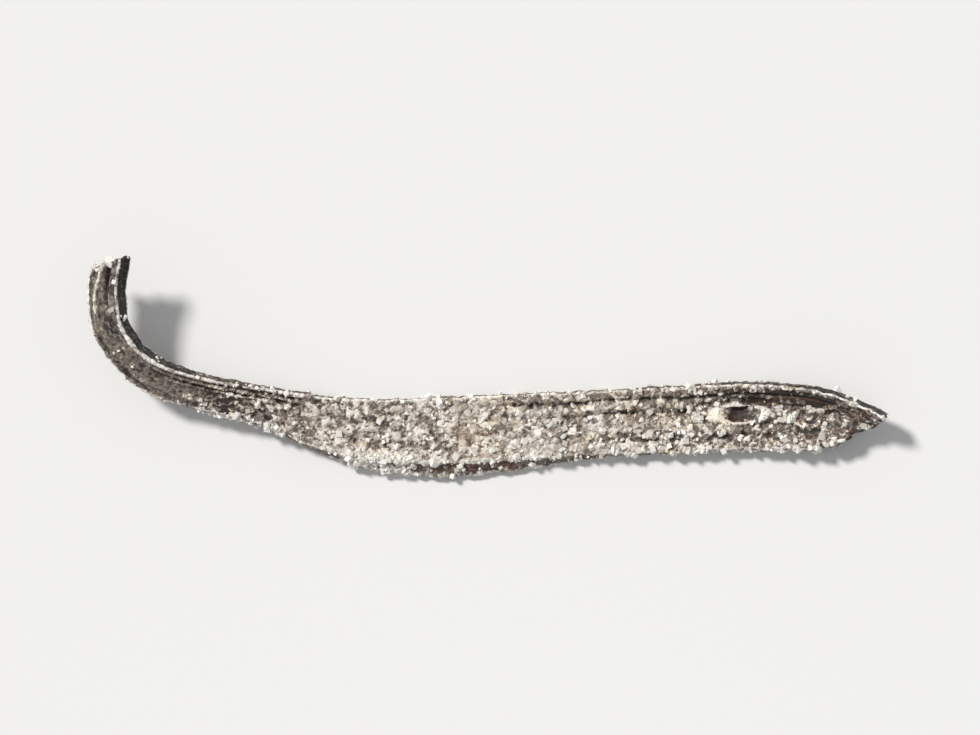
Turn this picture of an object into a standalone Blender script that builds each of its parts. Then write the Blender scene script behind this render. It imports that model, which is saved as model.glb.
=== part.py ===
"""One strip of dried, salted kelp: a leathery ribbon about 50 mm long that lies flat on its belly,
with a hooked, tilted end that lifts off the table and a long slanting cut at the other end.

Metres, +Z up. The table is the plane z = 0, and +X runs along the strip, from its hook to its far cut.
The origin is the centre of the strip's bounding box, taken down to the table.
"""

import math
from collections import namedtuple

import bmesh
import bpy
from mathutils import Matrix, Vector

MM = 0.001

THICKNESS = 0.95 * MM  # of the blade, between its two faces
EDGE_ROUNDING = 0.14 * MM  # how far a cut edge draws in towards its corners
END_HOLD = 0.25 * MM  # the ring that keeps a cut end square lies this far inside it

# The place of the strip's middle line at each station, in mm, the blade's width there in mm, the angle in
# degrees by which its left edge is raised, and the angle in degrees through which it curls from edge to edge.
Station = namedtuple("Station", "x y z width roll curl")
STATIONS = (
    Station(-23.2, 6.3, 4.3, 2.25, 27, 36),
    Station(-23.45, 4.4, 4.0, 2.3, 27, 30),
    Station(-23.2, 2.4, 3.5, 2.25, 26, 26),
    Station(-22.1, 0.6, 2.9, 2.2, 24, 24),
    Station(-20.3, -0.8, 2.3, 2.25, 19, 22),
    Station(-17.4, -1.73, 1.7, 2.15, 12, 20),
    Station(-13.6, -2.57, 1.15, 2.4, 5, 16),
    Station(-9.4, -3.75, 0.7, 3.5, -2, 15),
    Station(-5.0, -4.1, 0.46, 4.0, -5, 17),
    Station(0.0, -3.95, 0.42, 4.15, -4, 16),
    Station(5.6, -3.63, 0.42, 3.95, -1, 13),
    Station(11.4, -3.37, 0.46, 4.15, 2, 13),
    Station(16.6, -3.1, 0.66, 4.2, 4, 16),
    Station(20.6, -3.3, 1.05, 4.0, 8, 22),
    Station(23.2, -4.0, 1.45, 3.1, 13, 26),
)
RINGS_PER_STATION = 2

# The knife ran at a slant along the strip's right edge, so that this cut shows from above.
SLANT = 0.75 * MM  # how far the lower corner stands out past the upper one
SLANT_START = 0.3  # share of the half width from which the lower face widens
SLANT_MIDDLE = 8.6  # stations
SLANT_REACH = 2.4  # stations

# Towards the far cut a lengthwise fold sinks into the upper face, beside a left edge that rolls up.
FOLD_ACROSS = 0.3  # share of the half width, from the middle line
FOLD_HALF_WIDTH = 0.16  # share of the half width
FOLD_DEPTH = 0.36 * MM
LIP_RISE = 0.4 * MM
LIP_START, LIP_END = 0.36, 0.85  # shares of the half width
FOLD_FIRST, FOLD_FULL = 9.4, 12.4  # stations

# How obliquely the two ends were cut, as the slope of the cut against the strip's width.
HOOK_CUT_SLOPE = -0.55
FAR_CUT_SLOPE = 1.0

# Where a ring has its points, as shares of the half width.
ACROSS = (-1.0, -0.86, -0.45, -0.1, 0.15, 0.3, 0.45, 0.7, 0.88, 1.0)

TABLE_CUTTER = (0.08, 0.04, 0.01)

KELP_BROWN = (0.055, 0.042, 0.034, 1.0)
KELP_ROUGHNESS = 0.55


def smooth_step(low, high, value):
    """0 below low, 1 above high, and a smooth rise between them."""
    t = min(1.0, max(0.0, (value - low) / (high - low)))
    return t * t * (3 - 2 * t)


def blend_through(values, where):
    """The Catmull-Rom curve through the values, read at a place counted in values."""
    last = len(values) - 1
    first = min(int(where), last - 1)
    t = where - first
    a, b, c, d = (values[min(last, max(0, first + step))] for step in (-1, 0, 1, 2))
    return 0.5 * (2 * b + (c - a) * t + (2 * a - 5 * b + 4 * c - d) * t**2 + (3 * b - a - 3 * c + d) * t**3)


def station_at(where):
    """The station read from the smooth curves through all of them, in metres and radians."""
    x, y, z, width, roll, curl = (blend_through(values, where) for values in zip(*STATIONS))
    return Station(x * MM, y * MM, z * MM, width * MM, math.radians(roll), math.radians(curl))


def axes_at(where):
    """The directions along the strip, towards its left edge and out of its upper face."""
    step = 0.02
    before = station_at(max(0.0, where - step))
    after = station_at(min(len(STATIONS) - 1.0, where + step))
    along = (Vector(after[:3]) - Vector(before[:3])).normalized()
    level = Vector((0, 0, 1)).cross(along).normalized()
    left = Matrix.Rotation(station_at(where).roll, 3, along) @ level
    return along, left, along.cross(left)


def lip_rise(across):
    return LIP_RISE * smooth_step(LIP_START, LIP_END, across)


def fold_depth(across):
    return FOLD_DEPTH * math.exp(-(((across - FOLD_ACROSS) / FOLD_HALF_WIDTH) ** 2))


def section_point(where, across, upper):
    """The point of the strip's surface at a share of its half width, on its upper or its lower face."""
    blade = station_at(where)
    reach = across * blade.width / 2
    height = (0.5 if upper else -0.5) * THICKNESS
    if abs(across) == 1.0:
        height -= math.copysign(EDGE_ROUNDING, height)
    folded = smooth_step(FOLD_FIRST, FOLD_FULL, where)
    height += folded * lip_rise(across)
    if upper:
        height -= folded * fold_depth(across)
    else:
        slanted = 1 - smooth_step(0, SLANT_REACH, abs(where - SLANT_MIDDLE))
        reach -= SLANT * slanted * smooth_step(SLANT_START, 1.0, -across)
    along, left, out = axes_at(where)
    radius = blade.width / blade.curl
    angle = reach / radius
    sideways = left * (radius - height) * math.sin(angle)
    upwards = out * (radius - (radius - height) * math.cos(angle))
    return Vector(blade[:3]) + sideways + upwards + along * end_shift(where, across)


def end_shift(where, across):
    """How far a point near an end moves along the strip, so that the end is cut obliquely."""
    last = len(STATIONS) - 1
    hook_share = 1 - smooth_step(0, 1, where)
    far_share = smooth_step(last - 1, last, where)
    slope = HOOK_CUT_SLOPE * hook_share + FAR_CUT_SLOPE * far_share
    return slope * across * station_at(where).width / 2


def station_distance(first, second):
    return (Vector(station_at(second)[:3]) - Vector(station_at(first)[:3])).length


def ring_places():
    """Where the rings lie, counted in stations, with one close to each cut end."""
    last = len(STATIONS) - 1
    places = [step / RINGS_PER_STATION for step in range(last * RINGS_PER_STATION + 1)]
    near_hook = END_HOLD / station_distance(0, 1)
    near_far_cut = last - END_HOLD / station_distance(last - 1, last)
    return [places[0], near_hook, *places[1:-1], near_far_cut, places[-1]]


def strip_mesh():
    """The strip as a closed cage: rings of points over its upper face and back under its lower one."""
    bm = bmesh.new()
    around = [(across, True) for across in ACROSS] + [(across, False) for across in reversed(ACROSS)]
    rings = [[bm.verts.new(section_point(where, *place)) for place in around] for where in ring_places()]
    count = len(around)
    for ring, after in zip(rings, rings[1:]):
        for i in range(count):
            j = (i + 1) % count
            bm.faces.new((ring[i], after[i], after[j], ring[j]))
    for ring in (rings[0], rings[-1]):
        for i in range(len(ACROSS) - 1):
            bm.faces.new((ring[i], ring[i + 1], ring[count - 2 - i], ring[count - 1 - i]))
    bmesh.ops.recalc_face_normals(bm, faces=bm.faces)
    mesh = bpy.data.meshes.new("kelp_strip")
    bm.to_mesh(mesh)
    bm.free()
    mesh.shade_smooth()
    return mesh


def kelp_material():
    material = bpy.data.materials.new("dried_kelp")
    material.use_nodes = True
    shader = material.node_tree.nodes["Principled BSDF"]
    shader.inputs["Base Color"].default_value = KELP_BROWN
    shader.inputs["Roughness"].default_value = KELP_ROUGHNESS
    shader.inputs["Metallic"].default_value = 0.0
    return material


def table_cutter():
    """A block whose top is the table: it cuts the strip's belly flat where the strip rests."""
    bm = bmesh.new()
    bmesh.ops.create_cube(bm, size=1.0, matrix=Matrix.Diagonal((*TABLE_CUTTER, 1.0)))
    mesh = bpy.data.meshes.new("table_cutter")
    bm.to_mesh(mesh)
    bm.free()
    cutter = bpy.data.objects.new("table_cutter", mesh)
    cutter.location.z = -TABLE_CUTTER[2] / 2
    cutter.hide_render = True
    cutter.display_type = "WIRE"
    bpy.context.scene.collection.objects.link(cutter)
    return cutter


def kelp_strip(cutter):
    strip = bpy.data.objects.new("kelp_strip", strip_mesh())
    strip.data.materials.append(kelp_material())
    bpy.context.scene.collection.objects.link(strip)
    rounded = strip.modifiers.new("rounded", "SUBSURF")
    rounded.levels = 1
    rounded.render_levels = 1
    belly = strip.modifiers.new("flat_belly", "BOOLEAN")
    belly.operation = "DIFFERENCE"
    belly.object = cutter
    return strip


def centre_over_origin(obj):
    """Moves the object level with the table until the middle of its bounding box is above the origin."""
    bpy.context.view_layer.update()
    corners = [Vector(corner) for corner in obj.evaluated_get(bpy.context.evaluated_depsgraph_get()).bound_box]
    middle = (corners[0] + corners[6]) / 2
    obj.location.x = -middle.x
    obj.location.y = -middle.y


def clear_scene():
    for obj in list(bpy.data.objects):
        bpy.data.objects.remove(obj)


def main():
    clear_scene()
    centre_over_origin(kelp_strip(table_cutter()))


main()
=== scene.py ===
"""The looks of one strip of dried, salted kelp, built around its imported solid.

The blade is swept again as a fine mesh along the solid's own middle line, with its wrinkles, creases,
crust and ragged edges, and salt, seasoning and powder are laid on it grain by grain. Metres, +Z up, the
table at z = 0. The blade is worked out in millimetres, and becomes metres when its mesh is made.
"""

import itertools
import math
from collections import namedtuple

import bmesh
import bpy
import numpy as np
from mathutils import Matrix, Vector


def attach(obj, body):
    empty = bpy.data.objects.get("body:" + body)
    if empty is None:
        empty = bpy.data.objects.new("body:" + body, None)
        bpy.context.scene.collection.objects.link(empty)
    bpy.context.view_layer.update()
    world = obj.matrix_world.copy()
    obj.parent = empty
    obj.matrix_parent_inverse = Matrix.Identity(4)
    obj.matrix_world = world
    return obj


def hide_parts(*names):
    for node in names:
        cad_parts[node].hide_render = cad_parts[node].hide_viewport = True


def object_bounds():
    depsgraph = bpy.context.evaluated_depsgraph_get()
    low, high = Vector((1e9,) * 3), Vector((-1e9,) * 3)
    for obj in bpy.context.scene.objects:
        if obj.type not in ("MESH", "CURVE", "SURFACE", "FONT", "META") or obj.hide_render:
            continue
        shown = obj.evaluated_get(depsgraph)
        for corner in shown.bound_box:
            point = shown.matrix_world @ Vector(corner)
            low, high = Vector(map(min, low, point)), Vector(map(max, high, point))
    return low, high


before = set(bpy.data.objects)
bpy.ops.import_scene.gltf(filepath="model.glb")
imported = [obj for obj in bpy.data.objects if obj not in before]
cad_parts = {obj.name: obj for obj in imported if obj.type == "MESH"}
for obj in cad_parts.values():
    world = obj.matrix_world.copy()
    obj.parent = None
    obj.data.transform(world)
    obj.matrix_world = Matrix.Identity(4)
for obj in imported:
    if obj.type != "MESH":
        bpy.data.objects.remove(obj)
CAD_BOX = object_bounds()

bl_info = {
    "name": "Dried Kelp Strip",
    "version": (1, 0, 0),
    "blender": (4, 5, 0),
    "location": "View3D > Sidebar > Kelp",
    "description": "A salted strip of dried kelp with its crystals, seasoning grains and dust",
    "category": "Add Mesh",
}

MM = 0.001

# The blade's course, which is the solid's: at each station the place of its middle line and its width, in
# mm, and the angles in degrees by which its left edge is raised and through which it curls edge to edge.

Station = namedtuple("Station", "x y z width roll curl")
STATIONS = (
    Station(-23.2, 6.3, 4.3, 2.25, 27, 36),
    Station(-23.45, 4.4, 4.0, 2.3, 27, 30),
    Station(-23.2, 2.4, 3.5, 2.25, 26, 26),
    Station(-22.1, 0.6, 2.9, 2.2, 24, 24),
    Station(-20.3, -0.8, 2.3, 2.25, 19, 22),
    Station(-17.4, -1.73, 1.7, 2.15, 12, 20),
    Station(-13.6, -2.57, 1.15, 2.4, 5, 16),
    Station(-9.4, -3.75, 0.7, 3.5, -2, 15),
    Station(-5.0, -4.1, 0.46, 4.0, -5, 17),
    Station(0.0, -3.95, 0.42, 4.15, -4, 16),
    Station(5.6, -3.63, 0.42, 3.95, -1, 13),
    Station(11.4, -3.37, 0.46, 4.15, 2, 13),
    Station(16.6, -3.1, 0.66, 4.2, 4, 16),
    Station(20.6, -3.3, 1.05, 4.0, 8, 22),
    Station(23.2, -4.0, 1.45, 3.1, 13, 26),
)
LAST = len(STATIONS) - 1

# The slanting cut along the right edge, the fold and the rolled lip beside the left edge, and the slopes
# of the two oblique ends against the strip's width.
SLANT = 0.75  # mm
SLANT_START = 0.3  # share of the half width
SLANT_MIDDLE, SLANT_REACH = 8.6, 2.4  # stations
FOLD_ACROSS, FOLD_HALF_WIDTH = 0.3, 0.16  # shares of the half width
FOLD_DEPTH = 0.36  # mm
LIP_RISE = 0.4  # mm
LIP_START, LIP_END = 0.36, 0.85  # shares of the half width
FOLD_FIRST, FOLD_FULL = 9.4, 12.4  # stations
HOOK_CUT_SLOPE, FAR_CUT_SLOPE = -0.55, 1.0

CORNER_ANGLES = (22.5, 45.0, 67.5)  # degrees, of the points between a face and a wall
CAP_INSETS = (0.03, 0.1, 0.2, 0.3, 0.38)  # of a cut end's rings, as shares of the thickness
CAP_BULGE = 0.05  # mm

# The torn eye in the upper face, in mm: how far along its middle is, its size, its lip and its depth.
EYE_ALONG, EYE_ACROSS = 45.2, 0.08  # the second is a share of the half width
EYE_LENGTH, EYE_WIDTH = 3.3, 1.3
EYE_LIP, EYE_DEPTH = 0.2, 0.26

# The creases and ridges that run along the upper face: their height in mm, their place and half width as
# shares of the blade's half width, and where along the strip they start, end and fade, in mm.
Fold = namedtuple("Fold", "height across half_width start end fade")
FOLDS = (
    Fold(-0.26, 0.66, 0.075, 32, 49, 3),  # the deep crease inside the rolled lip
    Fold(0.14, 0.44, 0.08, 31, 44, 3),  # the ridge beside it
    Fold(-0.18, 0.25, 0.04, 33, 41, 2),  # a thin crease short of the eye
    Fold(0.07, -0.3, 0.06, 24, 40, 4),  # a low ridge
    Fold(-0.14, -0.6, 0.05, 36, 47, 3),  # a low crease
    Fold(-0.2, 0.46, 0.07, 42.5, 46.5, 1),  # the crease above the eye
)

# Along the right edge lies a patch of thick white salt: where it starts and ends, and its fade, in mm.
WHITE_PATCH = (21.3, 24.8, 0.7)

# How far apart the two ends, and the two edges, lie in the noise that makes them uneven, in mm.
ENDS_APART, EDGES_APART = 9, 5

# How thickly the upper face is crusted, from 0 to 1, at these distances along the strip in mm.
COVER_AT = (0, 3, 8, 11, 14, 18, 22, 30, 36, 42, 46, 53)
COVER = (0.29, 0.24, 0.26, 0.3, 0.36, 0.57, 0.69, 0.69, 0.73, 0.61, 0.38, 0.37)

# How many salt crystals and seasoning grains the upper face has to the square millimetre, before patches
# make them thicker and thinner, at these distances along the strip in mm.
SALT_AT = (0, 2, 9, 12, 18, 38, 43, 53)
SALT = (0.6, 0.25, 0.6, 5.0, 4.0, 5.0, 17.0, 18.0)
SEASONING_AT = (0, 3, 9, 13, 18, 40, 45, 53)
SEASONING = (0.6, 0.3, 1.5, 12.0, 7.0, 8.0, 14.0, 14.0)

# The salt along the right edge, in the same way: how many crystals there are, and where that stretch of the
# edge starts, ends and fades, in mm.
EDGE_SALT = (
    (90, (21.3, 24.6, 0.5)),
    (26, (12, 16.5, 0.8)),
    (12, (25, 33, 1)),
    (9, (34, 50, 2)),
)

SIZE_SPREAD = (1.3, 3.0)  # of the beta distribution that makes most grains small
CLOUDS_PER_METRE = 9000.0  # in each grain's colour
FLOOR_CLOUDS_PER_METRE = 9.0
KEY_COLOUR = (1.0, 0.985, 0.96)
SKY_COLOUR = (0.96, 0.98, 1.0, 1.0)


def smooth_step(low, high, value):
    """0 below low, 1 above high, and a smooth rise between them."""
    t = np.clip((value - low) / (high - low), 0.0, 1.0)
    return t * t * (3 - 2 * t)


def hump(centre, half_width, value):
    """1 at the centre, fading to nothing a few half widths away."""
    return np.exp(-(((value - centre) / half_width) ** 2))


def between(start, end, fade, value):
    """1 from start to end, with a fade outside both."""
    return smooth_step(start - fade, start, value) * (1 - smooth_step(end, end + fade, value))


def blend_through(values, where):
    """The Catmull-Rom curve through the values, read at places counted in values."""
    values = np.asarray(values, float)
    first = np.minimum(where.astype(int), len(values) - 2)
    t = where - first
    a, b, c, d = (values[np.clip(first + step, 0, len(values) - 1)] for step in (-1, 0, 1, 2))
    return 0.5 * (2 * b + (c - a) * t + (2 * a - 5 * b + 4 * c - d) * t**2 + (3 * b - a - 3 * c + d) * t**3)


def station_at(where):
    """The stations read from the smooth curves through all of them, in millimetres and radians."""
    x, y, z, width, roll, curl = (blend_through(values, where) for values in zip(*STATIONS))
    return Station(x, y, z, width, np.radians(roll), np.radians(curl))


def unit(vectors):
    return vectors / np.linalg.norm(vectors, axis=-1, keepdims=True)


def middle_at(where):
    station = station_at(where)
    return np.stack((station.x, station.y, station.z), axis=-1)


def axes_at(where):
    """The directions along the strip, towards its left edge and out of its upper face."""
    step = 0.02
    along = unit(middle_at(np.minimum(where + step, LAST)) - middle_at(np.maximum(where - step, 0.0)))
    level = unit(np.cross((0.0, 0.0, 1.0), along))
    roll = station_at(where).roll[..., None]
    left = level * np.cos(roll) + np.cross(along, level) * np.sin(roll)
    return along, left, np.cross(along, left)


def even_places(spacing):
    """Places in stations that lie evenly along the middle line, and how far along it each lies, in mm."""
    fine = np.linspace(0, LAST, 40 * LAST + 1)
    steps = np.linalg.norm(np.diff(middle_at(fine), axis=0), axis=1)
    length = np.concatenate(([0.0], np.cumsum(steps)))
    travelled = np.linspace(0, length[-1], round(length[-1] / spacing) + 1)
    return np.interp(travelled, length, fine), travelled


# ---------- Noise


PRIMES = (73856093, 19349663, 83492791)  # for a cell's three numbers
SEED_PRIME, MIX_PRIME = 2654435761, 2246822519
WORD = 0xFFFFFFFF


def hashed(cells, seed):
    """A number from -1 to 1 for each whole-numbered cell, the same every run."""
    x, y, z = (cells[..., axis] * PRIMES[axis] for axis in range(3))
    mixed = x ^ y ^ z ^ seed * SEED_PRIME
    for _ in range(2):
        mixed = (mixed ^ (mixed >> 15)) * MIX_PRIME & WORD
    return (mixed ^ (mixed >> 13)) / (WORD // 2) - 1.0


def noise(points, size, seed):
    """Smooth noise from -1 to 1 with lumps of this size, which is one number or one for each direction.
    Each use has its own seed, so that no two patterns match."""
    scaled = points / np.asarray(size, float)
    cells = np.floor(scaled).astype(np.int64)
    part = scaled - cells
    fade = part**3 * (part * (part * 6 - 15) + 10)
    total = np.zeros(points.shape[:-1])
    for corner in itertools.product((0, 1), repeat=3):
        corner = np.array(corner)
        away = part - corner
        weight = np.where(corner, fade, 1 - fade).prod(axis=-1)
        for axis in range(3):
            total += weight * away[..., axis] * hashed(cells + corner, seed * 3 + axis)
    return np.clip(total * 1.4, -1, 1)


def layered(points, size, seed, layers=3):
    """Noise with finer noise on it, each layer half as large and half as strong as the one before."""
    parts = [noise(points, np.asarray(size, float) / 2**i, seed + i) / 2**i for i in range(layers)]
    return sum(parts) / sum(1 / 2**i for i in range(layers))


def crests(values):
    """Turns smooth noise into sharp crests with broad valleys, from 0 to 1."""
    return (1 - np.abs(values)) ** 3


def cobbles(points, size, seed):
    """Rounded lumps packed side by side, about this size apart: how far each point stands up, from 0
    between the lumps to about 1 on the largest, and the tone of its lump, from 0 to 1."""
    scaled = points / np.asarray(size, float)
    cells = np.floor(scaled).astype(np.int64)
    height = np.zeros(points.shape[:-1])
    tone = np.full(points.shape[:-1], 0.5)
    for step in itertools.product((-1, 0, 1), repeat=3):
        cell = cells + np.array(step)
        nudge = np.stack([hashed(cell, seed + axis) for axis in range(3)], axis=-1)
        reach = 0.72 + 0.28 * hashed(cell, seed + 3)
        away = np.linalg.norm(scaled - cell - 0.5 - 0.45 * nudge, axis=-1)
        lump = reach - away**2 / reach
        tone = np.where(lump > height, 0.5 + 0.5 * hashed(cell, seed + 4), tone)
        height = np.maximum(height, lump)
    return smooth_step(0, 0.85, height), tone


# ---------- The blade


def outline(face_steps, wall_steps):
    """The blade's cross-section, over the upper face, down the left wall and back: each point's place on
    an inner rectangle, from -1 to 1 across and up, and the direction in which it stands off it."""
    half = [(across, 1, 0, 1) for across in np.linspace(-1, 1, face_steps)]
    arc = np.radians(CORNER_ANGLES)
    half += [(1, 1, math.sin(angle), math.cos(angle)) for angle in arc]
    half += [(1, up, 1, 0) for up in np.linspace(1, -1, wall_steps)]
    half += [(1, -1, math.cos(angle), -math.sin(angle)) for angle in arc]
    half = np.array(half, float).T
    return np.concatenate([half, -half], axis=1)


def ring_list(settings):
    """Each ring's place in stations, and in mm how far along it lies and how far it draws in."""
    where, travelled = even_places(settings.ring_spacing / MM)
    thickness = settings.thickness / MM
    insets = np.array(CAP_INSETS) * thickness
    start = [(where[0], travelled[0], inset) for inset in insets[::-1]]
    end = [(where[-1], travelled[-1], inset) for inset in insets]
    body = [(*pair, 0.0) for pair in zip(where, travelled)]
    return np.array(start + body + end).T, len(insets)


def end_shift(where, across, half_width, ragged):
    """How far a point moves along the strip: both ends are cut obliquely and a little torn."""
    hook_share = 1 - smooth_step(0, 1, where)
    far_share = smooth_step(LAST - 1, LAST, where)
    slope = HOOK_CUT_SLOPE * hook_share + FAR_CUT_SLOPE * far_share
    return slope * across * half_width + ragged * (hook_share**4 * 0.5 + far_share**4)


def folded_section(where, across, reach, height, thickness):
    """A section with the fold and the lip by its left edge, and the slanting cut along its right one."""
    folded = smooth_step(FOLD_FIRST, FOLD_FULL, where)
    upper_share = np.clip(0.5 + height / thickness, 0, 1)
    height = height + folded * LIP_RISE * smooth_step(LIP_START, LIP_END, across)
    height = height - folded * FOLD_DEPTH * hump(FOLD_ACROSS, FOLD_HALF_WIDTH, across) * upper_share
    slanted = 1 - smooth_step(0, SLANT_REACH, np.abs(where - SLANT_MIDDLE))
    reach = reach - SLANT * slanted * smooth_step(SLANT_START, 1.0, -across) * (1 - upper_share)
    return reach, height


def bent(where, reach, height, shift):
    """Where a section's points lie, in mm, once it is curled, rolled and laid along the course."""
    blade = station_at(where)
    along, left, out = axes_at(where)
    radius = blade.width / blade.curl
    angle = reach / radius
    sideways = left * ((radius - height) * np.sin(angle))[..., None]
    upwards = out * (radius - (radius - height) * np.cos(angle))[..., None]
    return middle_at(where) + sideways + upwards + along * shift[..., None]


def plain_middle(thickness):
    """The level centre of the plain sweep's box in mm, which the solid puts over the origin."""
    where = even_places(0.25)[0][:, None]
    across = np.tile(np.linspace(-1, 1, 9), 2)[None, :]
    height = np.repeat((-0.5, 0.5), 9)[None, :] * thickness + 0 * where
    half_width = station_at(where).width / 2
    reach, height = folded_section(where, across, across * half_width, height, thickness)
    points = bent(where, reach, height, end_shift(where, across, half_width, 0.0)).reshape(-1, 3)[:, :2]
    return (points.min(axis=0) + points.max(axis=0)) / 2


def lengthwise_folds(travelled, across, wander):
    """The heights in mm of the creases and ridges that run along the upper face, and of the fine lines
    beside the left edge at its far end, on the hook and behind it."""
    at = across + wander
    folds = 0.0
    for fold in FOLDS:
        lasts = between(fold.start, fold.end, fold.fade, travelled)
        folds = folds + fold.height * hump(fold.across, fold.half_width, at) * lasts
    limb_lines = 0.05 * np.cos(at * 42) * smooth_step(0.36, 0.46, across) * smooth_step(43, 47, travelled)
    hook_ridge = 0.05 * hump(-0.45, 0.2, across) * between(3, 11, 2, travelled)
    top_streaks = 0.11 * np.cos(at * 20) * smooth_step(0.1, 0.5, across) * between(9, 17, 2, travelled)
    return folds + limb_lines + hook_ridge + top_streaks


def eye(travelled, across, half_width, place):
    """A torn, almond-shaped eye: 1 along its ragged lip, and 1 deep in its hollow, off its mound."""
    along = (travelled - EYE_ALONG) / (EYE_LENGTH / 2)
    along = along + 0.14 * noise(place, (0.8, 0.5, 1.0), 35)
    beside = (across - EYE_ACROSS) * half_width / (EYE_WIDTH / 2)
    beside = beside + 0.24 * noise(place, (0.6, 0.45, 1.0), 36)
    far = np.abs(along) ** 1.5 + beside**2
    ragged = 0.76 + 0.24 * smooth_step(-0.4, 0.25, noise(place, (0.5, 0.4, 1.0), 37))
    mound = hump(0.5, 0.28, along) * hump(0.0, 0.5, beside)
    return hump(0.98, 0.3, far) * ragged, (1 - smooth_step(0.12, 0.66, far)) * (1 - 0.7 * mound)


def tip_ridge_and_highlight(travelled, across):
    """1 along the ridge that runs from the middle of the hooked tip to its outer edge, pale partly with
    salt and partly with a painted highlight.
    """
    return hump(-0.22 - 0.13 * travelled, 0.14, across) * (1 - smooth_step(2.0, 4.5, travelled))


def bend_salt_and_highlight_line(travelled, across):
    """1 along the pale line beside the inner edge of the hook's bend, which is partly salt and partly a
    painted highlight.
    """
    return smooth_step(0.73, 0.86, across) * between(4.5, 11.5, 1.5, travelled)


def gutter(travelled, across):
    """The heights in mm of the hooked tip's gutter, between its pale ridge and a brown flange."""
    tip = 1 - smooth_step(0.9, 2.9, travelled)
    return 0.13 * tip_ridge_and_highlight(travelled, across) - 0.34 * tip * hump(0.2, 0.15, across)


def crust_cover(travelled, across, upward, place):
    """How thickly salt and powder are crusted here, apart from the lumps: 0 is bare and 1 is buried."""
    cover = np.interp(travelled, COVER_AT, COVER)
    right_edge = smooth_step(0.6, 0.95, -across)
    left_edge = smooth_step(0.82, 0.97, across)
    edge_crust = 0.15 + 0.3 * between(20.5, 33, 1.5, travelled) + 0.12 * between(*WHITE_PATCH, travelled)
    cover = cover + right_edge * edge_crust * smooth_step(9, 13, travelled)
    # The pale line beside the hook's inner edge is partly salt and partly a painted highlight.
    cover = cover + 0.14 * left_edge + 0.45 * bend_salt_and_highlight_line(travelled, across)
    cover = cover + 0.4 * hump(-0.93, 0.09, across) * between(2.5, 8.5, 1.5, travelled)
    limb = smooth_step(0.3, 0.42, across) * smooth_step(44.5, 47.5, travelled)
    lower_end = smooth_step(0.1, 0.4, -across) * smooth_step(43, 47, travelled)
    # The tip's ridge is made paler: partly salt and partly a painted highlight.
    cover = cover - 0.24 * limb + 0.16 * lower_end + 0.44 * tip_ridge_and_highlight(travelled, across)
    lower_rim = 0.5 * smooth_step(0.18, 0.36, -place[..., 2]) * right_edge * between(23, 34, 2, travelled)
    patches = 0.16 * layered(place, (2.4, 1.2, 1.0), 31) + 0.12 * noise(place, (0.9, 0.6, 0.6), 32)
    patches = patches * (1 + 0.9 * smooth_step(39, 44, travelled))
    streaks = 0.1 * noise(place, (3.5, 0.22, 0.3), 33) * smooth_step(30, 36, travelled)
    top = smooth_step(-0.35, 0.7, upward)
    below = 0.3 * smooth_step(0.3, 0.9, -upward)
    # Painted shade: the hook's cut walls get less crust, so they come out darker.
    painted_shade_on_hook_walls = 0.22 * hump(0, 0.5, upward) * between(1, 10, 2, travelled)
    return cover * top + below + lower_rim - painted_shade_on_hook_walls + patches + streaks


def skin(place, travelled, across, upward, half_width, settings):
    """How far the surface stands out from the plain sweep, in mm, its crust and its tone."""
    top = smooth_step(0.2, 0.95, upward)
    wall = 1 - smooth_step(0.3, 0.8, np.abs(upward))
    hook = between(1.5, 10, 3, travelled)
    line = place * (1, 0, 0)
    wander = 0.07 * noise(line, (4.0, 1, 1), 11) + 0.025 * noise(line, (1.1, 1, 1), 12)
    lip, hollow = (part * top for part in eye(travelled, across, half_width, place))
    folds = (lengthwise_folds(travelled, across, wander) + gutter(travelled, across)) * top * (1 - hollow)
    wrinkles = crests(layered(place, (5.5, 0.62, 0.9), 13)) - 0.35
    buckles = layered(place, (2.2, 1.5, 1.5), 14)
    leather = crests(noise(place, (0.5, 0.26, 0.3), 15)) - 0.4
    grain = noise(place, (0.22, 0.17, 0.2), 16)
    warp = [noise(place, (0.34, 0.3, 0.4), seed) for seed in (25, 26, 27)]
    warped = place + 0.24 * np.stack(warp, axis=-1)
    lumps, tone = cobbles(warped, (0.36, 0.29, 0.5), 17)
    small_lumps, small_tone = cobbles(warped, (0.2, 0.17, 0.28), 18)
    fibres = noise(place, (2.6, 0.2, 0.13), 19)
    uneven = 1 - 0.62 * hook

    crust = crust_cover(travelled, across, upward, place) + 1.6 * folds + 0.85 * lip - 0.85 * hollow
    crust = crust + uneven * (0.6 * (lumps - 0.6) + 0.4 * (small_lumps - 0.55)) + 0.14 * wrinkles
    crusted = smooth_step(0.3, 0.72, crust)

    long_waves = settings.wrinkle_height / MM * (wrinkles * (0.35 + 0.65 * top) + 0.8 * buckles)
    bare = 0.04 * leather + 0.022 * grain
    lumpy = settings.crust_height / MM * (0.35 + 0.7 * lumps + 0.4 * small_lumps)
    relief = folds + EYE_LIP * lip - EYE_DEPTH * hollow
    relief = relief + uneven * long_waves * (1 - 0.7 * wall) + 0.06 * fibres * wall
    relief = relief + bare * (1 - crusted) + lumpy * crusted * (1 - 0.55 * wall)
    contrast = 1.05 + 0.7 * smooth_step(37, 43, travelled)
    tone = 0.5 + contrast * (0.55 * tone + 0.45 * small_tone - 0.5) + 0.2 * (lumps - 0.5)
    tone = tone - 0.12 * hook + 0.3 * smooth_step(0.5, 0.8, -across) * between(*WHITE_PATCH, travelled)
    # Paler along the line beside the hook's inner edge and along the tip's ridge: both partly salt and
    # partly painted highlight.
    tone = tone + 0.35 * np.maximum(bend_salt_and_highlight_line(travelled, across), tip_ridge_and_highlight(travelled, across))
    return relief, crust, np.clip(tone * (1 - lip) + 1.1 * lip, 0, 1)


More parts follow.
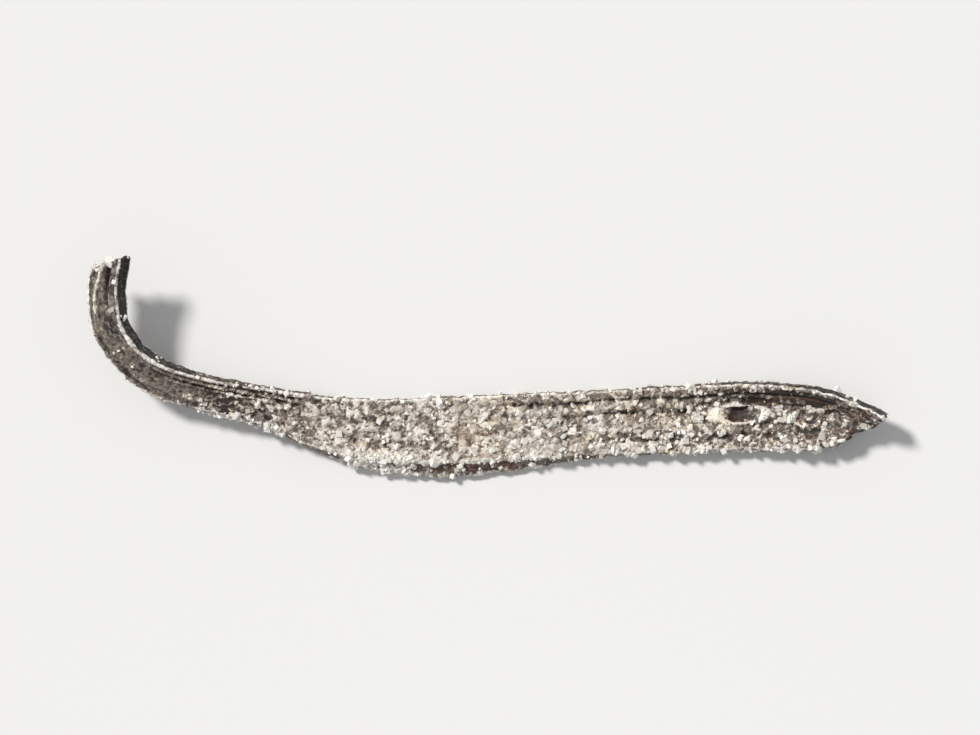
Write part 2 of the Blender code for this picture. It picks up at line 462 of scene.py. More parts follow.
def swept(settings):
    """The fine blade as a grid of points in mm, by ring and around each, with what each point is like."""
    (where, travelled, inset), cap_rings = ring_list(settings)
    inner_across, inner_up, out_across, out_up = outline(settings.face_steps, settings.wall_steps)
    where, travelled, inset = where[:, None], travelled[:, None], inset[:, None]
    thickness = settings.thickness / MM
    corner = np.minimum(settings.edge_radius / MM, thickness / 2 - inset * 0.98)
    half_width = station_at(where).width / 2
    reach = inner_across * (half_width - inset - corner + edge_waves(travelled, inner_across, settings))
    reach = reach + corner * out_across
    height = inner_up * np.maximum(thickness / 2 - inset - corner, 0.0) + corner * out_up
    across = np.clip(reach / half_width, -1, 1)
    reach, height = folded_section(where, across, reach, height, thickness)

    cap = np.zeros_like(inset)
    cap[:cap_rings] = -1
    cap[-cap_rings:] = 1
    torn = np.stack([ENDS_APART * where / LAST + 0 * reach, reach, height * 2], axis=-1)
    torn_by = 0.55 * noise(torn, (3, 0.8, 2.5), 23) + 0.25 * noise(torn, (3, 0.3, 1.0), 24)
    bulge = cap * CAP_BULGE * smooth_step(0, thickness / 4, inset)
    shift = end_shift(where, across, half_width, torn_by) + bulge
    points = bent(where, reach, height, shift)

    place = np.stack([travelled + shift, reach, height], axis=-1)
    upward = out_up * (1 - np.abs(cap)) + 0 * travelled
    relief, crust, tone = skin(place, travelled, across, upward, half_width, settings)
    points = points + grid_normals(points) * relief[..., None]
    facts = {
        "crust": crust,
        "tone": tone,
        "rim": np.abs(out_across * out_up) * 2 * (1 - np.abs(cap)) + 0 * travelled,
        "wall": np.maximum(np.abs(cap), 1 - smooth_step(0.35, 0.8, np.abs(out_up))) + 0 * travelled,
        "upward": upward,
        "across": across,
        "travelled": travelled + 0 * reach,
    }
    return points, place, facts


def edge_waves(travelled, inner_across, settings):
    """How far each long edge wanders from its true line, in mm."""
    side = EDGES_APART * np.sign(inner_across) + 0 * travelled
    line = np.stack([travelled + 0 * side, side, 0 * side], axis=-1)
    waves = 0.12 * noise(line, (1.7, 1, 1), 21) + 0.07 * noise(line, (0.5, 1, 1), 22)
    return waves * smooth_step(0.2, 1.0, np.abs(inner_across)) * settings.edge_waviness


def grid_normals(points):
    """The outward direction at each point of a grid of rings."""
    along = np.gradient(points, axis=0)
    around = np.roll(points, -1, axis=1) - np.roll(points, 1, axis=1)
    normals = np.cross(along, around)
    return normals / np.maximum(np.linalg.norm(normals, axis=-1, keepdims=True), 1e-9)


def grid_faces(rings, around):
    """Quads between the rings, and from face to face across the first and the last of them."""
    ring, point = np.meshgrid(np.arange(rings - 1), np.arange(around), indexing="ij")
    first = ring * around
    after = (point + 1) % around
    corners = (first + point, first + around + point, first + around + after, first + after)
    quads = np.stack(corners, axis=-1)
    half = around // 2
    pairs = np.arange(half - 1)
    cap = np.stack([pairs, pairs + 1, around - 2 - pairs, around - 1 - pairs], axis=-1)
    last = cap[:, ::-1] + (rings - 1) * around
    return np.concatenate([quads.reshape(-1, 4), cap, last])


def mesh_of(name, points, faces, attributes):
    """A mesh from arrays. An attribute with three numbers a point is stored as vectors."""
    mesh = bpy.data.meshes.new(name)
    corners = faces.shape[1]
    mesh.vertices.add(len(points))
    mesh.vertices.foreach_set("co", np.asarray(points, np.float32).ravel())
    mesh.loops.add(faces.size)
    mesh.loops.foreach_set("vertex_index", faces.astype(np.int32).ravel())
    mesh.polygons.add(len(faces))
    mesh.polygons.foreach_set("loop_start", np.arange(0, faces.size, corners, dtype=np.int32))
    mesh.update(calc_edges=True)
    for key, values in attributes.items():
        values = np.asarray(values, np.float32)
        vector = values.ndim == 2
        made = mesh.attributes.new(key, "FLOAT_VECTOR" if vector else "FLOAT", "POINT")
        made.data.foreach_set("vector" if vector else "value", values.ravel())
    mesh.validate()
    return mesh


def link(name, mesh, material):
    piece = bpy.data.objects.new(name, mesh)
    piece.data.materials.append(material)
    bpy.context.scene.collection.objects.link(piece)
    return piece


# ---------- Materials


class Nodes:
    """Short names for the shader nodes that the materials here are made of."""

    def __init__(self, name):
        self.material = bpy.data.materials.new(name)
        self.material.use_nodes = True
        self.tree = self.material.node_tree
        self.shader = self.tree.nodes["Principled BSDF"]

    def add(self, kind, inputs, **settings):
        node = self.tree.nodes.new(kind)
        for key, value in settings.items():
            setattr(node, key, value)
        for key, value in inputs.items():
            self.feed(node.inputs[key], value)
        return node

    def feed(self, socket, value):
        if isinstance(value, bpy.types.NodeSocket):
            self.tree.links.new(value, socket)
        else:
            socket.default_value = value

    def attribute(self, name, output="Fac"):
        return self.add("ShaderNodeAttribute", {}, attribute_name=name).outputs[output]

    def noise(self, vector, scale, detail=2.0, roughness=0.5):
        inputs = {"Vector": vector, "Scale": scale, "Detail": detail, "Roughness": roughness}
        return self.add("ShaderNodeTexNoise", inputs).outputs["Fac"]

    def scaled(self, vector, scale):
        """A vector or a colour, each of its parts multiplied."""
        return self.add("ShaderNodeVectorMath", {0: vector, 1: scale}, operation="MULTIPLY").outputs[0]

    def math(self, operation, first, second):
        return self.add("ShaderNodeMath", {0: first, 1: second}, operation=operation).outputs[0]

    def product(self, first, second):
        return self.math("MULTIPLY", first, second)

    def rise(self, value, low, high):
        """0 below low, 1 above high, and smooth between them."""
        inputs = {"Value": value, "From Min": low, "From Max": high}
        return self.add("ShaderNodeMapRange", inputs, interpolation_type="SMOOTHSTEP").outputs["Result"]

    def spread(self, value, low, high):
        """A value from 0 to 1 spread over low to high."""
        inputs = {"Value": value, "To Min": low, "To Max": high}
        return self.add("ShaderNodeMapRange", inputs).outputs["Result"]

    def blend(self, share, first, second):
        node = self.add("ShaderNodeMix", {}, data_type="RGBA")
        self.feed(node.inputs["Factor"], share)
        self.feed(node.inputs[6], first)
        self.feed(node.inputs[7], second)
        return node.outputs[2]

    def bump(self, height, distance, strength):
        inputs = {"Height": height, "Distance": distance, "Strength": strength}
        return self.add("ShaderNodeBump", inputs).outputs["Normal"]

    def finish(self, colour, roughness, specular, normal=None):
        self.feed(self.shader.inputs["Base Color"], colour)
        self.feed(self.shader.inputs["Roughness"], roughness)
        self.shader.inputs["Specular IOR Level"].default_value = specular
        if normal is not None:
            self.feed(self.shader.inputs["Normal"], normal)
        return self.material


def kelp_material(colours):
    """Dark leathery kelp with a haze of salt, under a broken crust of powder in many pale tones."""
    nodes = Nodes("dried_kelp")
    place = nodes.attribute("place", "Vector")
    speckle = nodes.noise(place, 4.5, 3.0, 0.6)
    fine = nodes.noise(place, 11.0, 3.0, 0.65)
    bare = kelp_skin(nodes, place, speckle, colours)
    crust = nodes.attribute("crust")
    roughened = nodes.math("ADD", nodes.product(speckle, 0.4), nodes.product(fine, 0.42))
    amount = nodes.math("ADD", crust, nodes.math("SUBTRACT", roughened, 0.41))
    haze = nodes.rise(amount, 0.04, 0.36)
    covered = nodes.rise(amount, 0.4, 0.56)
    film = nodes.blend(nodes.rise(speckle, 0.36, 0.62), colours.haze_dark, colours.haze_warm)
    colour = nodes.blend(haze, bare, film)
    colour = nodes.blend(covered, colour, powder_tones(nodes, place, fine, colours))
    whiter = nodes.rise(nodes.attribute("tone"), 0.25, 0.6)
    rim_tone = nodes.blend(whiter, colours.crust_beige, colours.whitest_salt_and_rim_highlight)
    # The rims' thin pale line is partly salt and partly a painted highlight.
    colour = nodes.blend(salt_and_highlight_rim(nodes, place, speckle), colour, rim_tone)

    height = nodes.math("ADD", nodes.product(speckle, 0.9), nodes.product(fine, 0.6))
    normal = nodes.bump(height, 0.06 * MM, 0.8)
    return nodes.finish(colour, nodes.spread(covered, 0.46, 0.88), 0.4, normal)


def kelp_skin(nodes, place, speckle, colours):
    """Bare kelp: streaked dark brown faces, a little reddish towards the far end, and cut walls that are
    reddish along the middle, nearly black at both ends and specked with salt; on the hook that near black
    is painted shade."""
    streaks = nodes.noise(nodes.scaled(place, (0.35, 2.6, 2.6)), 1.0, 4.0, 0.6)
    face = nodes.blend(nodes.rise(streaks, 0.38, 0.66), colours.kelp_dark, colours.kelp_brown)
    layers = nodes.noise(nodes.scaled(place, (0.5, 3.0, 7.0)), 1.0, 3.0, 0.6)
    reddish = nodes.blend(nodes.rise(layers, 0.36, 0.64), colours.wall_dark, colours.wall_red)
    along = nodes.add("ShaderNodeSeparateXYZ", {0: place}).outputs["X"]
    far = nodes.product(nodes.rise(along, 39.0, 60.0), nodes.rise(layers, 0.5, 0.62))
    face = nodes.blend(far, face, reddish)
    # The walls are reddish only along the middle; their near black on the hook is painted shade.
    middle = nodes.product(nodes.rise(along, 10.0, 17.0), nodes.rise(along, 44.0, 38.0))
    wall = nodes.blend(middle, colours.kelp_dark, reddish)
    specks = nodes.product(nodes.rise(speckle, 0.56, 0.66), 0.55)
    wall = nodes.blend(specks, wall, colours.haze_warm)
    return nodes.blend(nodes.attribute("wall"), face, wall)


def powder_tones(nodes, place, fine, colours):
    """The crust's tones, from brown lumps through grey and beige ones to white, each lump its own."""
    mottling = nodes.product(nodes.math("SUBTRACT", fine, 0.5), 0.5)
    shaded = nodes.math("ADD", nodes.attribute("tone"), mottling)
    steps = (
        (0.14, 0.3, colours.crust_tan),
        (0.3, 0.42, colours.crust_grey),
        (0.44, 0.58, colours.crust_beige),
        (0.6, 0.76, colours.crust_cream),
        (0.78, 0.92, colours.whitest_salt_and_rim_highlight),
    )
    tone = colours.crust_brown
    for low, high, paler in steps:
        tone = nodes.blend(nodes.rise(shaded, low, high), tone, paler)
    clouds = nodes.noise(nodes.scaled(place, (0.3, 0.8, 0.8)), 1.0, 3.0, 0.55)
    return nodes.blend(nodes.rise(clouds, 0.4, 0.66), tone, nodes.scaled(tone, colours.warmth[:3]))


def salt_and_highlight_rim(nodes, place, speckle):
    """Along the blade's sharp rims: a thin pale line with gaps in it, partly salt grown there and partly a
    painted highlight.
    """
    gaps = nodes.noise(nodes.scaled(place, (1.1, 0.4, 0.4)), 1.0, 4.0, 0.7)
    unbroken = nodes.product(nodes.rise(gaps, 0.38, 0.5), nodes.rise(speckle, 0.36, 0.48))
    return nodes.product(nodes.rise(nodes.attribute("rim"), 0.25, 0.65), unbroken)


def grain_material(name, settings, roughness, specular):
    """Grains whose colour runs through three tones by each grain's own tint, a little cloudy inside."""
    nodes = Nodes(name)
    tint = nodes.attribute("tint")
    place = nodes.add("ShaderNodeTexCoord", {}).outputs["Object"]
    cloudy = nodes.noise(place, CLOUDS_PER_METRE)
    colour = nodes.blend(nodes.rise(tint, 0.0, 0.5), settings.tone_low, settings.tone_mid)
    colour = nodes.blend(nodes.rise(tint, 0.5, 1.0), colour, settings.tone_high)
    colour = nodes.scaled(colour, nodes.spread(cloudy, 0.78, 1.08))
    return nodes.finish(colour, nodes.spread(cloudy, roughness - 0.1, roughness + 0.15), specular)


def floor_material(colour):
    nodes = Nodes("pale_floor")
    place = nodes.add("ShaderNodeTexCoord", {}).outputs["Object"]
    cloudy = nodes.noise(place, FLOOR_CLOUDS_PER_METRE)
    darker = tuple(0.97 * part for part in colour[:3]) + (1.0,)
    return nodes.finish(nodes.blend(cloudy, darker, colour), 0.75, 0.25)


# ---------- Grains


Surface = namedtuple("Surface", "corners normals areas facts")


def blade_surface():
    """The blade's quads, for laying grains on, with what each of them is like."""
    blade = bpy.data.objects.get("kelp_blade")
    if blade is None:
        raise RuntimeError("Add the kelp blade before its grains")
    mesh = blade.data
    points = np.empty(len(mesh.vertices) * 3)
    mesh.vertices.foreach_get("co", points)
    points = points.reshape(-1, 3)
    faces = np.empty(len(mesh.polygons) * 4, np.int64)
    mesh.loops.foreach_get("vertex_index", faces)
    faces = faces.reshape(-1, 4)
    facts = {}
    for key in ("crust", "rim", "upward", "across", "travelled"):
        values = np.empty(len(points))
        mesh.attributes[key].data.foreach_get("value", values)
        facts[key] = values[faces].mean(axis=1)
    corners = points[faces]
    normals = np.cross(corners[:, 2] - corners[:, 0], corners[:, 3] - corners[:, 1])
    doubled = np.linalg.norm(normals, axis=1)
    return Surface(corners, normals / np.maximum(doubled, 1e-15)[:, None], doubled / 2, facts)


def sprinkled(surface, density, rng):
    """Points dropped on the blade, as many to a square millimetre as density says, and their normals."""
    weights = np.maximum(density, 0) * surface.areas / MM**2
    total = int(weights.sum())
    chosen = rng.choice(len(weights), size=total, p=weights / weights.sum())
    u, v = rng.random((2, total, 1))
    quad = surface.corners[chosen]
    bottom = quad[:, 0] * (1 - u) + quad[:, 1] * u
    top = quad[:, 3] * (1 - u) + quad[:, 2] * u
    return bottom * (1 - v) + top * v, surface.normals[chosen]


def broken_cube(rng):
    """The corners of a cube of size about 1, uneven, with two of them chipped off."""
    signs = np.array(list(itertools.product((-1, 1), repeat=3)))
    corners = signs / 2 * rng.uniform(0.75, 1.1, 3) + rng.normal(0, 0.04, (8, 3))
    points = list(corners)
    for chipped in rng.choice(8, 2, replace=False):
        corner = corners[chipped]
        beside = [other for other in range(8) if np.abs(signs[other] - signs[chipped]).sum() == 2]
        cuts = rng.uniform(0.2, 0.6, 3)
        cut_points = [corner + (corners[other] - corner) * cut for other, cut in zip(beside, cuts)]
        points[chipped] = cut_points[0]
        points += cut_points[1:]
    return np.array(points)


def splinter(corner_count, rng):
    """The corners of a broken lump of size about 1, longer one way than the others."""
    spread = unit(rng.normal(size=(corner_count, 3)))
    return spread * rng.uniform(0.75, 1.0, (corner_count, 1)) * rng.uniform(0.3, 0.55, 3)


def hull_of(corners):
    """The hull of the corners, as points and triangles that face outwards."""
    bm = bmesh.new()
    for corner in corners:
        bm.verts.new(corner)
    hull = bmesh.ops.convex_hull(bm, input=bm.verts)
    inside = {v for v in hull["geom_interior"] + hull["geom_unused"] if isinstance(v, bmesh.types.BMVert)}
    bmesh.ops.delete(bm, geom=list(inside), context="VERTS")
    bmesh.ops.triangulate(bm, faces=bm.faces)
    bmesh.ops.recalc_face_normals(bm, faces=bm.faces)
    bm.verts.index_update()
    points = np.array([v.co[:] for v in bm.verts])
    faces = np.array([[v.index for v in face.verts] for face in bm.faces])
    bm.free()
    return points, faces


def grain_shapes(settings, rng):
    """The different shapes of one kind of grain: first its broken cubes, then its splinters."""
    cubes = round(settings.shapes * settings.cubes)
    corners = [broken_cube(rng) for _ in range(cubes)]
    corners += [splinter(settings.corners, rng) for _ in range(settings.shapes - cubes)]
    return [hull_of(points) for points in corners]


def random_turns(total, rng):
    """Rotations spread evenly over all directions, as matrices."""
    quaternions = unit(rng.normal(size=(total, 4)))
    w, x, y, z = quaternions.T
    rows = [
        [1 - 2 * (y * y + z * z), 2 * (x * y - z * w), 2 * (x * z + y * w)],
        [2 * (x * y + z * w), 1 - 2 * (x * x + z * z), 2 * (y * z - x * w)],
        [2 * (x * z - y * w), 2 * (y * z + x * w), 1 - 2 * (x * x + y * y)],
    ]
    return np.array(rows).transpose(2, 0, 1)


def joined_grains(name, spots, normals, sizes, shapes, rng):
    """One mesh of all the grains, each a turned and stretched copy of a shape, a little sunk in."""
    kinds = rng.integers(len(shapes), size=len(spots))
    turns = random_turns(len(spots), rng)
    stretch = rng.uniform(0.65, 1.25, size=(len(spots), 3)) * sizes[:, None]
    middles = spots + normals * (sizes * rng.uniform(-0.1, 0.3, size=len(spots)))[:, None]
    tints = rng.random(len(spots))
    all_points, all_faces, all_tints, total = [], [], [], 0
    for kind, (points, faces) in enumerate(shapes):
        members = np.flatnonzero(kinds == kind)
        placed = np.einsum("nij,npj->npi", turns[members], points[None] * stretch[members, None])
        placed += middles[members, None]
        offsets = total + np.arange(len(members)) * len(points)
        all_points.append(placed.reshape(-1, 3))
        all_faces.append((faces[None] + offsets[:, None, None]).reshape(-1, 3))
        all_tints.append(np.repeat(tints[members], len(points)))
        total += len(members) * len(points)
    points = np.concatenate(all_points)
    points[:, 2] = np.maximum(points[:, 2], 0.0)
    mesh = mesh_of(name, points, np.concatenate(all_faces), {"tint": np.concatenate(all_tints)})
    mesh.shade_flat()
    return mesh


def add_grains(name, slot, density, settings, roughness, specular):
    """Lays one kind of grain on the blade, as thickly as density, a function of the surface, says."""
    rng = np.random.default_rng(settings.seed)
    surface = blade_surface()
    spots, normals = sprinkled(surface, density(surface) * settings.density, rng)
    share_of_range = rng.beta(*SIZE_SPREAD, size=len(spots))
    sizes = settings.smallest + (settings.largest - settings.smallest) * share_of_range
    mesh = joined_grains(name, spots, normals, sizes, grain_shapes(settings, rng), rng)
    piece = link(name, mesh, grain_material(slot, settings, roughness, specular))
    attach(piece, "root")


def patchy(surface, size, seed, low, high):
    """1 in patches of about this size in millimetres and 0 between them."""
    middles = surface.corners.mean(axis=1) / MM
    return smooth_step(low, high, layered(middles, size, seed))


def salt_density(surface):
    """White crystals: scarce on the hook and round the eye, in a crust along the right edge, and thick on
    the hook's cut end and towards the far end."""
    facts = surface.facts
    travelled, across, upward = facts["travelled"], facts["across"], facts["upward"]
    top = smooth_step(0.0, 0.8, upward)
    right_edge = smooth_step(0.66, 0.95, -across)
    left_edge = smooth_step(0.8, 0.97, across)
    patches = patchy(surface, 0.85, 41, 0.0, 0.3)
    limb = smooth_step(0.3, 0.42, across) * smooth_step(44.5, 47.5, travelled)
    face = top * np.interp(travelled, SALT_AT, SALT)
    near_eye = hump(EYE_ALONG, 2.1, travelled) * hump(EYE_ACROSS, 0.6, across)
    face = face * (0.12 + 2.3 * patches) * (1 - 0.85 * limb) * (1 - 0.85 * near_eye)
    face = face * smooth_step(0.25, 0.55, facts["crust"])
    clumps = 0.35 + patchy(surface, 0.6, 42, -0.2, 0.3)
    crust = sum(amount * between(*stretch, travelled) for amount, stretch in EDGE_SALT)
    open_wall = 1 - 0.75 * hump(-0.1, 0.45, upward) * between(25, 34, 1, travelled)
    tip = 14 * (1 - smooth_step(0.05, 0.5, travelled)) * (1 - smooth_step(0.2, 0.8, across))
    edges = right_edge * crust * clumps * smooth_step(-0.9, 0.2, upward) * open_wall
    return face + (edges + 8 * left_edge * patches) + tip + 0.2


def seasoning_density(surface):
    """Golden and tan grains: strewn between the salt, thicker behind the hook and towards the far end."""
    facts = surface.facts
    patches = patchy(surface, 1.0, 51, -0.05, 0.4)
    along = np.interp(facts["travelled"], SEASONING_AT, SEASONING)
    top = along * (0.3 + 1.3 * patches) * smooth_step(-0.4, 0.7, facts["upward"])
    return top * smooth_step(0.0, 0.4, facts["crust"]) + 0.15


def powder_density(surface):
    """Fine powder: wherever the blade is crusted, and along its rims."""
    facts = surface.facts
    patches = patchy(surface, 0.7, 61, -0.3, 0.5)
    thick = smooth_step(0.2, 0.7, facts["crust"]) * (0.35 + 0.65 * patches)
    frosted = smooth_step(0.3, 0.9, facts["rim"]) * (0.3 + 0.7 * patches)
    return (thick + 0.7 * frosted) * (0.3 + 0.7 * smooth_step(-0.6, 0.3, facts["upward"]))


# ---------- Settings


def length(name, about, default, low=0.0):
    """A length in metres."""
    return bpy.props.FloatProperty(
        name=name, description=about, default=default, min=low, unit="LENGTH", precision=5
    )


def angle(name, about, degrees):
    turn = math.radians(degrees)
    return bpy.props.FloatProperty(name=name, description=about, default=turn, subtype="ANGLE")


def colour(name, about, red, green, blue):
    tone = (red, green, blue, 1.0)
    return bpy.props.FloatVectorProperty(
        name=name, description=about, default=tone, min=0.0, max=1.0, size=4, subtype="COLOR"
    )


def number(name, about, default, high=1.0):
    return bpy.props.FloatProperty(name=name, description=about, default=default, min=0.0, max=high)


def count(name, about, default, low):
    return bpy.props.IntProperty(name=name, description=about, default=default, min=low)


class KelpBladeSettings(bpy.types.PropertyGroup):
    thickness: length("Thickness", "Between the blade's two faces", 0.95 * MM, 0.2 * MM)
    edge_radius: length("Edge radius", "Rounding where a face meets a cut wall", 0.15 * MM)
    wrinkle_height: length("Wrinkle height", "Of the dried blade's wrinkles", 0.08 * MM)
    crust_height: length("Crust height", "Of the lumps of salt and powder", 0.08 * MM)
    edge_waviness: number("Edge waviness", "How unevenly the two long edges run", 1.0, 4.0)
    ring_spacing: length("Ring spacing", "Between the mesh's rings along the blade", 0.07 * MM, 0.02 * MM)
    face_steps: count("Face points", "Mesh points across each face", 50, 8)
    wall_steps: count("Wall points", "Mesh points down each cut wall", 8, 3)


class KelpColours(bpy.types.PropertyGroup):
    kelp_dark: colour("Dark kelp", "The bare blade's darkest tone", 0.018, 0.0125, 0.01)
    kelp_brown: colour("Brown kelp", "The bare blade's usual tone", 0.045, 0.033, 0.025)
    haze_dark: colour("Dark haze", "Kelp under the thinnest film of salt", 0.12, 0.098, 0.082)
    haze_warm: colour("Warm haze", "Kelp under a film of salt", 0.25, 0.208, 0.175)
    wall_dark: colour("Dark wall", "The cut walls in their hollows", 0.035, 0.017, 0.013)
    wall_red: colour("Red wall", "The cut walls' reddish brown", 0.15, 0.062, 0.038)
    crust_brown: colour("Brown crust", "The crust's darkest lumps", 0.11, 0.088, 0.072)
    crust_tan: colour("Tan crust", "The crust's tan lumps", 0.33, 0.265, 0.215)
    crust_grey: colour("Grey crust", "The crust's grey lumps", 0.44, 0.405, 0.375)
    crust_beige: colour("Beige crust", "The crust's usual tone", 0.6, 0.545, 0.49)
    crust_cream: colour("Cream crust", "The crust's pale lumps", 0.8, 0.745, 0.675)
    # This whitest tone also colours the rims' pale line, which is partly salt and partly a painted
    # highlight.
    whitest_salt_and_rim_highlight: colour("Frost", "The whitest salt, on lumps and along the rims", 0.91, 0.885, 0.84)
    warmth: colour("Warmth", "What the crust is multiplied by in its warm patches", 1.0, 0.94, 0.84)


class KelpGrainSettings(bpy.types.PropertyGroup):
    density: number("Density", "What the usual number of grains is multiplied by", 1.0, 500.0)
    smallest: length("Smallest", "Size of the smallest grain", 0.1 * MM, 0.01 * MM)
    largest: length("Largest", "Size of the largest grain", 0.5 * MM, 0.01 * MM)
    cubes: number("Cubes", "Share of the shapes that are broken cubes, and not splinters", 0.5)
    corners: count("Corners", "Corners of each splinter", 9, 5)
    shapes: count("Shapes", "How many different shapes there are", 24, 1)
    seed: count("Seed", "Starts the random numbers", 1, 0)
    tone_low: colour("First tone", "One end of the grains' range", 0.62, 0.575, 0.51)
    tone_mid: colour("Middle tone", "The middle of the grains' range", 0.83, 0.79, 0.73)
    tone_high: colour("Last tone", "The other end of the grains' range", 0.94, 0.915, 0.875)


class KelpStageSettings(bpy.types.PropertyGroup):
    floor_size: length("Floor size", "Side of the square floor", 3.0, 0.5)
    floor_colour: colour("Floor colour", "Of the plain pale floor", 0.8, 0.795, 0.785)
    floor_gap: length("Floor gap", "Between the floor and the strip's belly", 0.01 * MM)
    key_strength: number("Key strength", "Of the soft light from the upper left", 3.1, 100.0)
    key_size: angle("Key size", "Apparent width of the key light", 10)
    key_height: angle("Key height", "Of the key light above the table", 47)
    key_bearing: angle("Key bearing", "Of the key light, counted from +X towards +Y", 142)
    sky_strength: number("Sky strength", "Of the even light from all round", 0.42, 100.0)
    lens: bpy.props.FloatProperty(name="Lens", description="Focal length in mm", default=250.0, min=10.0)
    view_width: length("View width", "Width of the camera's view at the table", 61 * MM, 10 * MM)


# ---------- Operators


class KELP_OT_add_blade(bpy.types.Operator):
    """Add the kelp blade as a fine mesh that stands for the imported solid"""

    bl_idname = "kelp.add_blade"
    bl_label = "Add Blade"

    def execute(self, context):
        points, place, facts = swept(context.scene.kelp_blade)
        points[..., :2] -= plain_middle(context.scene.kelp_blade.thickness / MM)
        points[..., 2] = np.maximum(points[..., 2], 0.0)
        rings, around = points.shape[:2]
        attributes = {key: values.ravel() for key, values in facts.items()}
        attributes["place"] = place.reshape(-1, 3)
        mesh = mesh_of("kelp_blade", points.reshape(-1, 3) * MM, grid_faces(rings, around), attributes)
        blade = link("kelp_blade", mesh, kelp_material(context.scene.kelp_colours))
        mesh.shade_smooth()
        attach(blade, "root")
        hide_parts("kelp_strip")
        return {"FINISHED"}


class KELP_OT_add_salt(bpy.types.Operator):
    """Add the white salt crystals"""

    bl_idname = "kelp.add_salt"
    bl_label = "Add Salt Crystals"

    def execute(self, context):
        add_grains("salt_crystals", "sea_salt", salt_density, context.scene.kelp_salt, 0.3, 0.55)
        return {"FINISHED"}


class KELP_OT_add_seasoning(bpy.types.Operator):
    """Add the golden and tan seasoning grains"""

    bl_idname = "kelp.add_seasoning"
    bl_label = "Add Seasoning Grains"

    def execute(self, context):
        grains = context.scene.kelp_seasoning
        add_grains("seasoning_grains", "savoury_grains", seasoning_density, grains, 0.42, 0.45)
        return {"FINISHED"}


class KELP_OT_add_powder(bpy.types.Operator):
    """Add the fine powder that clings to the blade"""

    bl_idname = "kelp.add_powder"
    bl_label = "Add Powder"

    def execute(self, context):
        add_grains("fine_powder", "salt_dust", powder_density, context.scene.kelp_powder, 0.7, 0.3)
        return {"FINISHED"}


class KELP_OT_add_stage(bpy.types.Operator):
    """Add the pale floor, the soft light and the camera that looks straight down"""

    bl_idname = "kelp.add_stage"
    bl_label = "Add Stage"

    def execute(self, context):
        stage = context.scene.kelp_stage
        self.add_floor(context, stage)
        self.add_lights(context, stage)
        self.add_camera(context, stage)
        context.scene.view_settings.view_transform = "Standard"
        return {"FINISHED"}

    def add_floor(self, context, stage):
        bm = bmesh.new()
        bmesh.ops.create_grid(bm, x_segments=1, y_segments=1, size=stage.floor_size / 2)
        mesh = bpy.data.meshes.new("floor")
        bm.to_mesh(mesh)
        bm.free()
        floor = link("floor", mesh, floor_material(stage.floor_colour))
        floor.location.z = -stage.floor_gap

    def add_lights(self, context, stage):
        light = bpy.data.lights.new("key_light", "SUN")
        light.energy = stage.key_strength
        light.angle = stage.key_size
        light.color = KEY_COLOUR
        key = bpy.data.objects.new("key_light", light)
        level = Vector((math.cos(stage.key_bearing), math.sin(stage.key_bearing), 0))
        towards = level * math.cos(stage.key_height) + Vector((0, 0, math.sin(stage.key_height)))
        key.rotation_euler = towards.to_track_quat("Z", "Y").to_euler()
        context.scene.collection.objects.link(key)
        world = bpy.data.worlds.new("even_sky")
        world.use_nodes = True
        sky = world.node_tree.nodes["Background"]
        sky.inputs["Color"].default_value = SKY_COLOUR
        sky.inputs["Strength"].default_value = stage.sky_strength
        context.scene.world = world

    def add_camera(self, context, stage):
        low, high = CAD_BOX
        middle = (low + high) / 2
        data = bpy.data.cameras.new("camera")
        data.lens = stage.lens
        distance = stage.view_width * data.lens / data.sensor_width
        data.clip_start = distance / 20
        data.clip_end = distance * 50
        camera = bpy.data.objects.new("camera", data)
        camera.matrix_world = Matrix.Translation((middle.x, middle.y, distance))
        context.scene.collection.objects.link(camera)
        context.scene.camera = camera


class KELP_PT_panel(bpy.types.Panel):
    """Builds the kelp strip piece by piece"""

    bl_label = "Dried Kelp Strip"
    bl_idname = "KELP_PT_panel"
    bl_space_type = "VIEW_3D"
    bl_region_type = "UI"
    bl_category = "Kelp"

    def draw(self, context):
        for operator, group in STEPS:
            box = self.layout.box()
            box.operator(operator.bl_idname)
            settings = getattr(context.scene, group)
            for key in settings.bl_rna.properties.keys():
                if key not in ("rna_type", "name"):
                    box.prop(settings, key)


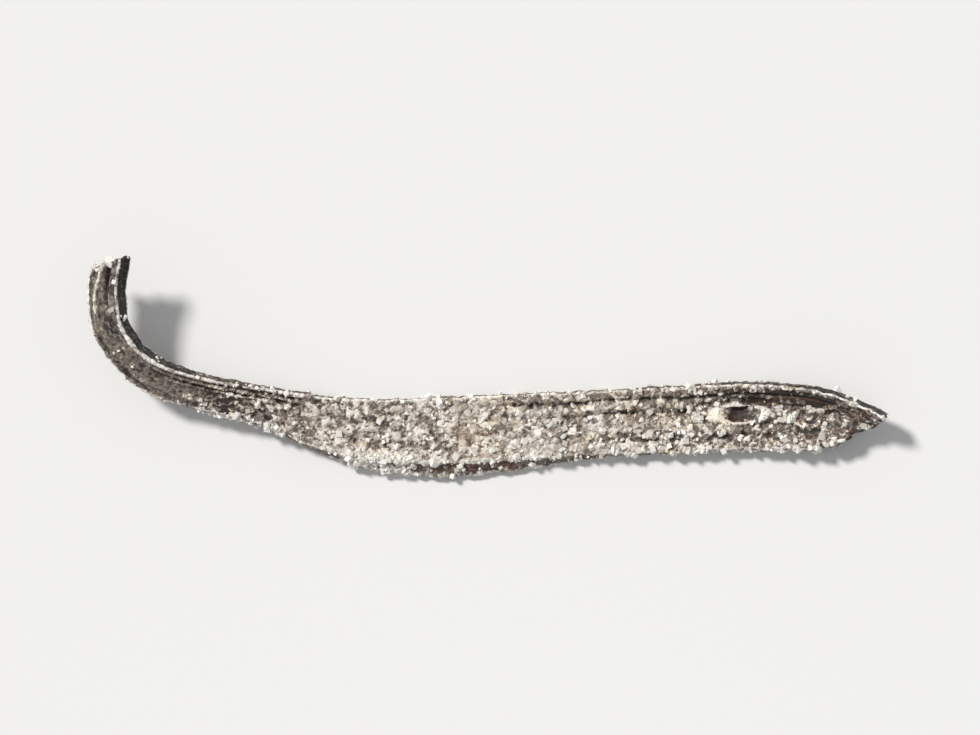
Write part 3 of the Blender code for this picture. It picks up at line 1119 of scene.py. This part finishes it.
STEPS = (
    (KELP_OT_add_blade, "kelp_blade"),
    (KELP_OT_add_salt, "kelp_salt"),
    (KELP_OT_add_seasoning, "kelp_seasoning"),
    (KELP_OT_add_powder, "kelp_powder"),
    (KELP_OT_add_stage, "kelp_stage"),
)
GROUPS = {
    "kelp_blade": KelpBladeSettings,
    "kelp_colours": KelpColours,
    "kelp_salt": KelpGrainSettings,
    "kelp_seasoning": KelpGrainSettings,
    "kelp_powder": KelpGrainSettings,
    "kelp_stage": KelpStageSettings,
}
GRAIN_CHOICES = {
    "kelp_salt": {"smallest": 0.07 * MM, "cubes": 0.7, "seed": 4},
    "kelp_seasoning": {
        "smallest": 0.07 * MM,
        "largest": 0.36 * MM,
        "cubes": 0.0,
        "corners": 8,
        "seed": 9,
        "tone_low": (0.2, 0.1, 0.055, 1.0),
        "tone_mid": (0.5, 0.34, 0.2, 1.0),
        "tone_high": (0.76, 0.62, 0.44, 1.0),
    },
    "kelp_powder": {
        "density": 200.0,
        "smallest": 0.03 * MM,
        "largest": 0.15 * MM,
        "cubes": 0.0,
        "corners": 6,
        "shapes": 16,
        "seed": 15,
        "tone_low": (0.28, 0.24, 0.2, 1.0),
        "tone_mid": (0.5, 0.44, 0.38, 1.0),
        "tone_high": (0.84, 0.8, 0.74, 1.0),
    },
}
CLASSES = (
    KelpBladeSettings,
    KelpColours,
    KelpGrainSettings,
    KelpStageSettings,
    *(operator for operator, _ in STEPS),
    KELP_PT_panel,
)


def register():
    for cls in CLASSES:
        bpy.utils.register_class(cls)
    for name, group in GROUPS.items():
        setattr(bpy.types.Scene, name, bpy.props.PointerProperty(type=group))


def unregister():
    for name in GROUPS:
        delattr(bpy.types.Scene, name)
    for cls in reversed(CLASSES):
        bpy.utils.unregister_class(cls)


def main():
    register()
    for group, choices in GRAIN_CHOICES.items():
        for key, value in choices.items():
            setattr(getattr(bpy.context.scene, group), key, value)
    bpy.ops.kelp.add_blade()
    bpy.ops.kelp.add_salt()
    bpy.ops.kelp.add_seasoning()
    bpy.ops.kelp.add_powder()
    bpy.ops.kelp.add_stage()


if __name__ == "__main__":
    main()
